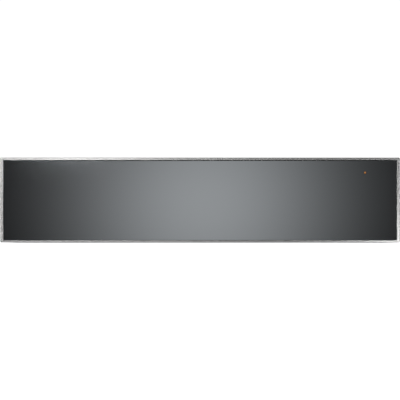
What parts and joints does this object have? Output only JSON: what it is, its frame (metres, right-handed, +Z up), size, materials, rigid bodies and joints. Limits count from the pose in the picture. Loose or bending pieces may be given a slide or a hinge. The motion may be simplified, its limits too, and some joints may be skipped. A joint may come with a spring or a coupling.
{
  "type": "warming drawer",
  "caption": "Built-in warming drawer with a dark glass front in a thin steel edge frame, full-extension ball rails, a heated glass floor and a push-to-open latch.",
  "frame": {"origin": "under the middle of the closed appliance, on the surface that the casing stands on", "axes": "+X to the right of the front, +Y towards the back, +Z up; the front faces -Y"},
  "size_m": [0.59, 0.54, 0.126],
  "materials": {
    "edge_steel": "polished edge",
    "front_glass": "dark tinted, glossy",
    "lens_amber": "clear amber",
    "circuit_board": "matt lacquer",
    "bond_tape": "foam",
    "zinc_sheet": "galvanised",
    "stainless_sheet": "brushed",
    "rail_zinc": "bright zinc plate",
    "cage_steel": "plain strip",
    "ball_steel": "polished",
    "fastener_steel": "zinc plated",
    "spring_steel": "bright wire",
    "black_rubber": "moulded",
    "white_plastic": "moulded",
    "black_plastic": "moulded",
    "grey_plastic": "moulded",
    "floor_glass": "black toughened",
    "aluminium_sheet": "rolled",
    "heating_foil": "foil band",
    "mineral_mat": "fibre",
    "element_steel": "heat tinted",
    "motor_steel": "plain"
  },
  "bodies": {
    "casing": {"casing_base": "zinc_sheet", "casing_top": "zinc_sheet", "casing_screws": "fastener_steel", "casing_side_left": "zinc_sheet", "casing_side_right": "zinc_sheet", "casing_rear": "zinc_sheet", "casing_front_collar": "stainless_sheet", "ceiling_panel": "stainless_sheet", "rear_spacers": "black_rubber", "terminal_block": "white_plastic", "cable_gland": "black_plastic", "outer_rail_left": "rail_zinc", "outer_rail_right": "rail_zinc", "rail_rivets": "fastener_steel", "latch_housing": "black_plastic", "latch_spring": "spring_steel"},
    "drawer": {"inner_rail_left": "rail_zinc", "inner_rail_right": "rail_zinc", "rail_screws": "fastener_steel", "latch_striker": "rail_zinc", "drawer_side_left": "zinc_sheet", "drawer_side_right": "zinc_sheet", "drawer_rear_panel": "zinc_sheet", "drawer_bottom_cover": "zinc_sheet", "drawer_tub": "stainless_sheet", "glass_floor": "floor_glass", "floor_seal": "black_rubber", "heater_plate": "aluminium_sheet", "heating_band": "heating_foil", "insulation_mat": "mineral_mat", "thermal_cutout": "grey_plastic", "fan_grille": "stainless_sheet", "fan_housing": "zinc_sheet", "fan_motor": "motor_steel", "air_heater": "element_steel", "control_panel": "stainless_sheet", "selector_switch": "black_plastic", "wiring_loom": "black_rubber", "front_frame": "edge_steel", "front_glass": "front_glass", "glass_bond_tape": "bond_tape", "front_inner_panel": "zinc_sheet", "indicator_lens": "lens_amber", "indicator_board": "circuit_board", "front_screws": "fastener_steel"},
    "mid_rail_left": {"mid_rail_left": "rail_zinc"},
    "outer_cage_left": {"outer_cage_left": "cage_steel", "outer_balls_left": "ball_steel"},
    "inner_cage_left": {"inner_cage_left": "cage_steel", "inner_balls_left": "ball_steel"},
    "mid_rail_right": {"mid_rail_right": "rail_zinc"},
    "outer_cage_right": {"outer_cage_right": "cage_steel", "outer_balls_right": "ball_steel"},
    "inner_cage_right": {"inner_cage_right": "cage_steel", "inner_balls_right": "ball_steel"},
    "fan": {"fan_wheel": "aluminium_sheet", "motor_shaft": "motor_steel"},
    "knob": {"control_knob": "black_plastic", "switch_spindle": "motor_steel"},
    "latch_plunger": {"latch_plunger": "grey_plastic"}
  },
  "joints": [
    {"name": "drawer_slide", "type": "slide", "parent": "casing", "child": "drawer", "axis": [0, -1, 0], "range_m": [-0.003, 0.45]},
    {"name": "mid_rail_left_slide", "type": "slide", "parent": "casing", "child": "mid_rail_left", "axis": [0, -1, 0], "range_m": [-0.0015, 0.225]},
    {"name": "outer_cage_left_slide", "type": "slide", "parent": "casing", "child": "outer_cage_left", "axis": [0, -1, 0], "range_m": [-0.00075, 0.1125]},
    {"name": "inner_cage_left_slide", "type": "slide", "parent": "casing", "child": "inner_cage_left", "axis": [0, -1, 0], "range_m": [-0.00225, 0.3375]},
    {"name": "mid_rail_right_slide", "type": "slide", "parent": "casing", "child": "mid_rail_right", "axis": [0, -1, 0], "range_m": [-0.0015, 0.225]},
    {"name": "outer_cage_right_slide", "type": "slide", "parent": "casing", "child": "outer_cage_right", "axis": [0, -1, 0], "range_m": [-0.00075, 0.1125]},
    {"name": "inner_cage_right_slide", "type": "slide", "parent": "casing", "child": "inner_cage_right", "axis": [0, -1, 0], "range_m": [-0.00225, 0.3375]},
    {"name": "fan_spin", "type": "hinge", "parent": "drawer", "child": "fan", "pos_m": [0, 0.207, 0.071], "axis": [0, -1, 0], "continuous": true},
    {"name": "knob_turn", "type": "hinge", "parent": "drawer", "child": "knob", "pos_m": [0.205, -0.232, 0.105], "axis": [0, 0, -1], "range_deg": [0, 180]},
    {"name": "latch_press", "type": "slide", "parent": "casing", "child": "latch_plunger", "axis": [0, -1, 0], "range_m": [-0.003, 0], "stiffness_N_per_m": 400}
  ],
  "couplings": [
    {"joint": "mid_rail_left_slide", "follows": "drawer_slide", "ratio": 0.5},
    {"joint": "outer_cage_left_slide", "follows": "drawer_slide", "ratio": 0.25},
    {"joint": "inner_cage_left_slide", "follows": "drawer_slide", "ratio": 0.75},
    {"joint": "mid_rail_right_slide", "follows": "drawer_slide", "ratio": 0.5},
    {"joint": "outer_cage_right_slide", "follows": "drawer_slide", "ratio": 0.25},
    {"joint": "inner_cage_right_slide", "follows": "drawer_slide", "ratio": 0.75}
  ]
}
